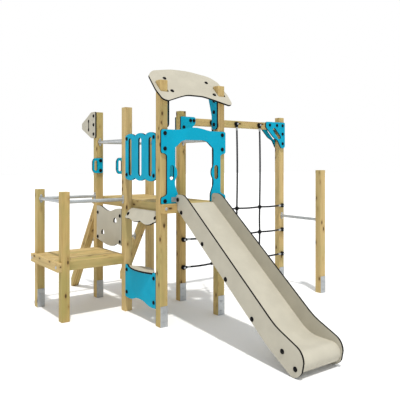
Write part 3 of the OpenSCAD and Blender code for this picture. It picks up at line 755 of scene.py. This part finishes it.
@dataclass
class Caps:
    """Domed two-part caps over the panel bolts."""

    stem: float = 6.0 * MM
    rim: float = 1.12
    clamp_ease: float = 2.0 * MM
    socket_ease: float = 1.5 * MM
    sides: int = 28
    profile: tuple[tuple[float, float], ...] = field(default=(
        (1.00, 0.00), (1.00, 0.22), (0.95, 0.32), (0.90, 0.34), (0.88, 0.30), (0.86, 0.36),
        (0.80, 0.58), (0.68, 0.78), (0.50, 0.92), (0.26, 0.985), (0.001, 1.00)))

    def build(self) -> None:
        """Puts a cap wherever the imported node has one."""
        stock = Stock("panel_caps")
        bm = bmesh.new()
        for solid in stock.solids():
            normal, faces = stock.flat_faces(solid)
            ring = {v for f in faces for v in f.verts}
            reach = [v.co.dot(normal) for v in ring]
            seat = [v.co for v, r in zip(ring, reach) if r < min(reach) + 0.5 * MM]
            heights = [v.co.dot(normal) for v in solid]
            middle = sum(seat, Vector()) / len(seat)
            radius = max((v.co - middle).cross(normal).length for v in solid) * self.rim
            self.cap(bm, middle, -normal, radius, min(reach) - min(heights),
                     max(heights) - min(reach))
        stock.bm.free()
        bmesh.ops.remove_doubles(bm, verts=bm.verts, dist=0.03 * MM)
        bmesh.ops.recalc_face_normals(bm, faces=bm.faces)
        material = Moulded("cap_black").build()
        finish_piece("bolt_caps", bm, material, ("panel_caps",))
        finish_piece("cross_clamps", Stock("rope_clamps").bm, material,
                     ("rope_clamps",), self.clamp_ease)
        finish_piece("rope_sockets", Stock("rope_eyes").bm, material,
                     ("rope_eyes",), self.socket_ease)

    def cap(self, bm: bmesh.types.BMesh, seat: Vector, up: Vector, radius: float, height: float,
            stem: float) -> None:
        """Makes one cap as a revolved profile.

        Args:
            bm: Mesh that gets it.
            seat: Middle of its underside.
            up: Direction in which its dome looks.
            radius: Radius of its rim.
            height: Height of its dome.
            stem: Length of its stem.
        """
        turn = up.to_track_quat("Z", "Y").to_matrix().to_4x4()
        place = Matrix.Translation(seat) @ turn
        outline = [(0.0005 * radius, -stem), (self.stem, -stem), (self.stem, 0.0)]
        outline += [(radius * r, height * h) for r, h in self.profile]
        verts = [bm.verts.new(place @ Vector((r, 0.0, z))) for r, z in outline]
        edges = [bm.edges.new(pair) for pair in zip(verts[:-1], verts[1:])]
        bmesh.ops.spin(bm, geom=verts + edges, cent=seat, axis=up, angle=math.tau, steps=self.sides,
                       use_merge=True, use_duplicate=False)


# ---------------------------------------------------------------- net

@dataclass
class Ropes:
    """The net's laid ropes, cut where the cross clamps hold them."""

    strands: int = 6
    lay: float = 120.0 * MM
    step: float = 8.0 * MM
    groove: float = 0.14
    fuzz: float = 1.0 * MM
    slack: float = 7.0 * MM
    slack_length: float = 0.5
    waist: float = 1.3

    def build(self) -> None:
        """Makes the uprights and the cross ropes."""
        material = Strand("rope_dark").build()
        for node, axis in (("rope_uprights", Vector((0, 0, 1))),
                           ("rope_crossings", Vector((1, 0, 0)))):
            stock = Stock(node)
            bm = bmesh.new()
            layer = bm.verts.layers.float.new("crown")
            for solid in stock.solids():
                low, high = Stock.box(solid)
                self.rope(bm, layer, low, high, axis)
            stock.bm.free()
            bmesh.ops.recalc_face_normals(bm, faces=bm.faces)
            finish_piece(f"laid_{node}", bm, material, (node,))

    def rope(self, bm: bmesh.types.BMesh, layer: Any, low: Vector, high: Vector,
             axis: Vector) -> None:
        """Makes one rope by turning a lobed section as it runs along, then lets it bow a little.

        Args:
            bm: Mesh that gets it.
            layer: Attribute that is 1 on the strands' crowns and 0 in their grooves, which the rope's
                colour uses for painted shade in the grooves.
            low: Lowest corner of the rope's box.
            high: Highest corner of the rope's box.
            axis: Direction in which it runs.
        """
        size, middle = high - low, (low + high) / 2
        length = abs(size.dot(axis))
        radius = sorted(size)[0] / 2 + self.fuzz
        start = middle - axis * length / 2
        turn = axis.to_track_quat("Z", "Y").to_matrix().to_4x4()
        made = bmesh.ops.create_circle(bm, cap_ends=False, segments=self.strands * 4, radius=radius,
                                       matrix=Matrix.Translation(start) @ turn)
        for index, vert in enumerate(made["verts"]):
            crown = 0.5 + 0.5 * math.cos(math.pi / 2 * index)
            vert[layer] = crown
            vert.co = start + (vert.co - start) * (1.0 - self.groove * (1.0 - crown))
        edges = {e for v in made["verts"] for e in v.link_edges}
        steps = max(2, round(length / self.step))
        before = set(bm.verts) - set(made["verts"])
        bmesh.ops.spin(bm, geom=made["verts"] + list(edges), cent=start, axis=axis,
                       dvec=axis * (length / steps), angle=math.tau * length / self.lay,
                       steps=steps, use_duplicate=False)
        bmesh.ops.holes_fill(bm, edges=[e for e in bm.edges if e.is_boundary], sides=0)
        way = Vector((0.0, 0.0, -1.0))
        if abs(axis.z) > 0.5:
            way = Vector((math.copysign(1.0, middle.z - self.waist), 0.0, 0.0))
        bend = way * self.slack * min(1.0, length / self.slack_length)
        for vert in bm.verts:
            if vert not in before:
                run = (vert.co - start).dot(axis) / length
                vert.co += bend * math.sin(math.pi * min(1.0, max(0.0, run)))


# ---------------------------------------------------------------- studio

@dataclass
class Studio:
    """Camera, light and floor."""

    eye: Vector = field(default_factory=lambda: Vector((-3.6757, -4.7987, 1.6679)))
    heading: float = math.radians(-36.23)
    lens: float = 47.574
    rise: float = -0.09354
    sun_from: Vector = field(default_factory=lambda: Vector((-0.16, -0.34, 1.0)))
    sun_power: float = 2.4
    sun_width: float = math.radians(2.5)
    sun_tint: Colour = (1.0, 0.975, 0.94)
    floor_reach: float = 60.0
    sky: float = 0.75
    sky_tint: Colour = (0.955, 0.98, 1.0)

    def build(self) -> None:
        """Makes the camera, the sun, the sky and the floor."""
        scene = bpy.context.scene
        scene.view_settings.view_transform = "Standard"
        lens = bpy.data.cameras.new("camera")
        lens.lens = self.lens
        lens.sensor_width = 36.0
        lens.shift_y = self.rise
        camera = bpy.data.objects.new("camera", lens)
        camera.location = self.eye
        camera.rotation_euler = Euler((math.pi / 2, 0.0, self.heading))
        scene.collection.objects.link(camera)
        scene.camera = camera
        light = bpy.data.lights.new("sun", "SUN")
        light.energy = self.sun_power
        light.angle = self.sun_width
        light.color = self.sun_tint
        sun = bpy.data.objects.new("sun", light)
        sun.rotation_euler = self.sun_from.to_track_quat("Z", "Y").to_euler()
        scene.collection.objects.link(sun)
        world = bpy.data.worlds.new("sky")
        world.use_nodes = True
        self.paint_sky(world.node_tree)
        scene.world = world
        self.floor()

    def paint_sky(self, tree: bpy.types.NodeTree) -> None:
        """Makes the sky white where it is seen and softer where it lights the tower.

        Args:
            tree: The world's nodes.
        """
        light = tree.nodes["Background"]
        light.inputs["Color"].default_value = (*self.sky_tint, 1.0)
        light.inputs["Strength"].default_value = self.sky
        seen = tree.nodes.new("ShaderNodeBackground")
        seen.inputs["Color"].default_value = (1.0, 1.0, 1.0, 1.0)
        path = tree.nodes.new("ShaderNodeLightPath")
        both = tree.nodes.new("ShaderNodeMixShader")
        tree.links.new(path.outputs["Is Camera Ray"], both.inputs[0])
        tree.links.new(light.outputs[0], both.inputs[1])
        tree.links.new(seen.outputs[0], both.inputs[2])
        tree.links.new(both.outputs[0], tree.nodes["World Output"].inputs["Surface"])

    def floor(self) -> None:
        """Makes the floor, far wider than the view."""
        bm = bmesh.new()
        bmesh.ops.create_grid(bm, x_segments=2, y_segments=2, size=self.floor_reach)
        mesh = bpy.data.meshes.new("floor")
        bm.to_mesh(mesh)
        bm.free()
        mesh.materials.append(Floor().build())
        floor = bpy.data.objects.new("floor", mesh)
        bpy.context.scene.collection.objects.link(floor)


def main() -> None:
    """Builds the studio and every piece."""
    logging.basicConfig(level=logging.INFO, format="%(message)s")
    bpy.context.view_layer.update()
    for maker in (Studio(), Timber(), DeckScrews(), Panels(), Steelwork(), Caps(), Ropes()):
        maker.build()


if __name__ == "__main__":
    main()
